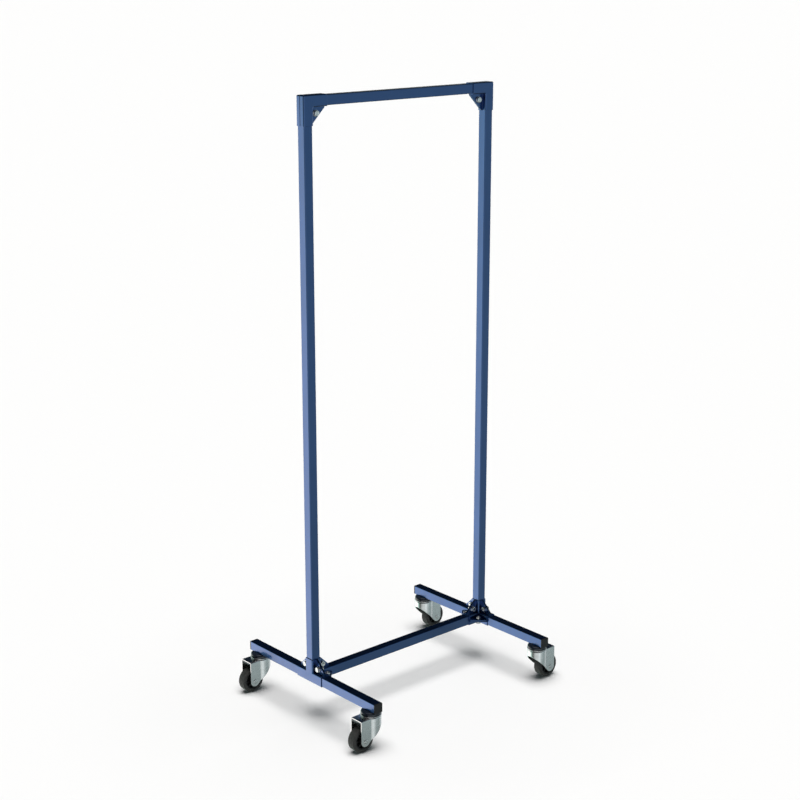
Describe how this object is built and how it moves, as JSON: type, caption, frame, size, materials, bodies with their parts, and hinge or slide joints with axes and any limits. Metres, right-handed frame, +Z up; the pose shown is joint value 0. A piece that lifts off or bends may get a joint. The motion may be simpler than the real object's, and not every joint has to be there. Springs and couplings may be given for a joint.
{
  "type": "clothes rack",
  "caption": "Rolling clothes rack of square steel tube: hanging rail on posts, joined by bolted clamps to feet on swivel casters.",
  "frame": {"origin": "on the floor, below the middle of the rack", "axes": "+Z up, +X along the hanging rail to the right-hand post, +Y across the rack's depth to the rear casters"},
  "size_m": [0.728, 0.518, 1.597],
  "materials": {
    "powder_coat": "semi-gloss grey-blue powder coat",
    "zinc_plate": "bright zinc plate",
    "plain_steel": "plain turned steel",
    "black_plastic": "fine-grained moulded plastic",
    "collar_gloss": "smooth gloss",
    "tyre": "solid rubber, fine tread wear"
  },
  "bodies": {
    "frame": {"caster_kingpins": "plain_steel", "caster_kingpin_nuts": "plain_steel", "clamp_bolts": "zinc_plate", "clamp_nuts": "zinc_plate", "clamp_washers": "zinc_plate", "cross_bar": "powder_coat", "top_rail": "powder_coat", "left_post": "powder_coat", "left_foot": "powder_coat", "left_base_clamp_outer": "powder_coat", "left_base_clamp_lower": "powder_coat", "left_base_clamp_front": "powder_coat", "left_base_clamp_rear": "powder_coat", "left_top_clamp_front": "powder_coat", "left_top_clamp_rear": "powder_coat", "right_post": "powder_coat", "right_foot": "powder_coat", "right_base_clamp_outer": "powder_coat", "right_base_clamp_lower": "powder_coat", "right_base_clamp_front": "powder_coat", "right_base_clamp_rear": "powder_coat", "right_top_clamp_front": "powder_coat", "right_top_clamp_rear": "powder_coat", "front_left_end_cap": "black_plastic", "front_left_collar": "collar_gloss", "front_right_end_cap": "black_plastic", "front_right_collar": "collar_gloss", "rear_left_end_cap": "black_plastic", "rear_left_collar": "collar_gloss", "rear_right_end_cap": "black_plastic", "rear_right_collar": "collar_gloss"},
    "front_left_fork": {"front_left_fork": "zinc_plate", "front_left_bearing_balls": "plain_steel", "front_left_axle": "zinc_plate", "front_left_axle_nut": "zinc_plate", "front_left_bush": "plain_steel"},
    "front_left_wheel": {"front_left_wheel_core": "black_plastic", "front_left_tyre": "tyre"},
    "front_right_fork": {"front_right_fork": "zinc_plate", "front_right_bearing_balls": "plain_steel", "front_right_axle": "zinc_plate", "front_right_axle_nut": "zinc_plate", "front_right_bush": "plain_steel"},
    "front_right_wheel": {"front_right_wheel_core": "black_plastic", "front_right_tyre": "tyre"},
    "rear_left_fork": {"rear_left_fork": "zinc_plate", "rear_left_bearing_balls": "plain_steel", "rear_left_axle": "zinc_plate", "rear_left_axle_nut": "zinc_plate", "rear_left_bush": "plain_steel"},
    "rear_left_wheel": {"rear_left_wheel_core": "black_plastic", "rear_left_tyre": "tyre"},
    "rear_right_fork": {"rear_right_fork": "zinc_plate", "rear_right_bearing_balls": "plain_steel", "rear_right_axle": "zinc_plate", "rear_right_axle_nut": "zinc_plate", "rear_right_bush": "plain_steel"},
    "rear_right_wheel": {"rear_right_wheel_core": "black_plastic", "rear_right_tyre": "tyre"}
  },
  "joints": [
    {"name": "front_left_swivel", "type": "hinge", "parent": "frame", "child": "front_left_fork", "pos_m": [-0.2975, -0.229, 0.091], "axis": [0, 0, 1], "continuous": true},
    {"name": "front_left_wheel_spin", "type": "hinge", "parent": "front_left_fork", "child": "front_left_wheel", "pos_m": [-0.3315, -0.229, 0.0325], "axis": [0, 1, 0], "continuous": true},
    {"name": "front_right_swivel", "type": "hinge", "parent": "frame", "child": "front_right_fork", "pos_m": [0.2975, -0.229, 0.091], "axis": [0, 0, 1], "continuous": true},
    {"name": "front_right_wheel_spin", "type": "hinge", "parent": "front_right_fork", "child": "front_right_wheel", "pos_m": [0.3315, -0.229, 0.0325], "axis": [0, 1, 0], "continuous": true},
    {"name": "rear_left_swivel", "type": "hinge", "parent": "frame", "child": "rear_left_fork", "pos_m": [-0.2975, 0.229, 0.091], "axis": [0, 0, 1], "continuous": true},
    {"name": "rear_left_wheel_spin", "type": "hinge", "parent": "rear_left_fork", "child": "rear_left_wheel", "pos_m": [-0.3315, 0.229, 0.0325], "axis": [0, 1, 0], "continuous": true},
    {"name": "rear_right_swivel", "type": "hinge", "parent": "frame", "child": "rear_right_fork", "pos_m": [0.2975, 0.229, 0.091], "axis": [0, 0, 1], "continuous": true},
    {"name": "rear_right_wheel_spin", "type": "hinge", "parent": "rear_right_fork", "child": "rear_right_wheel", "pos_m": [0.3315, 0.229, 0.0325], "axis": [0, 1, 0], "continuous": true}
  ]
}
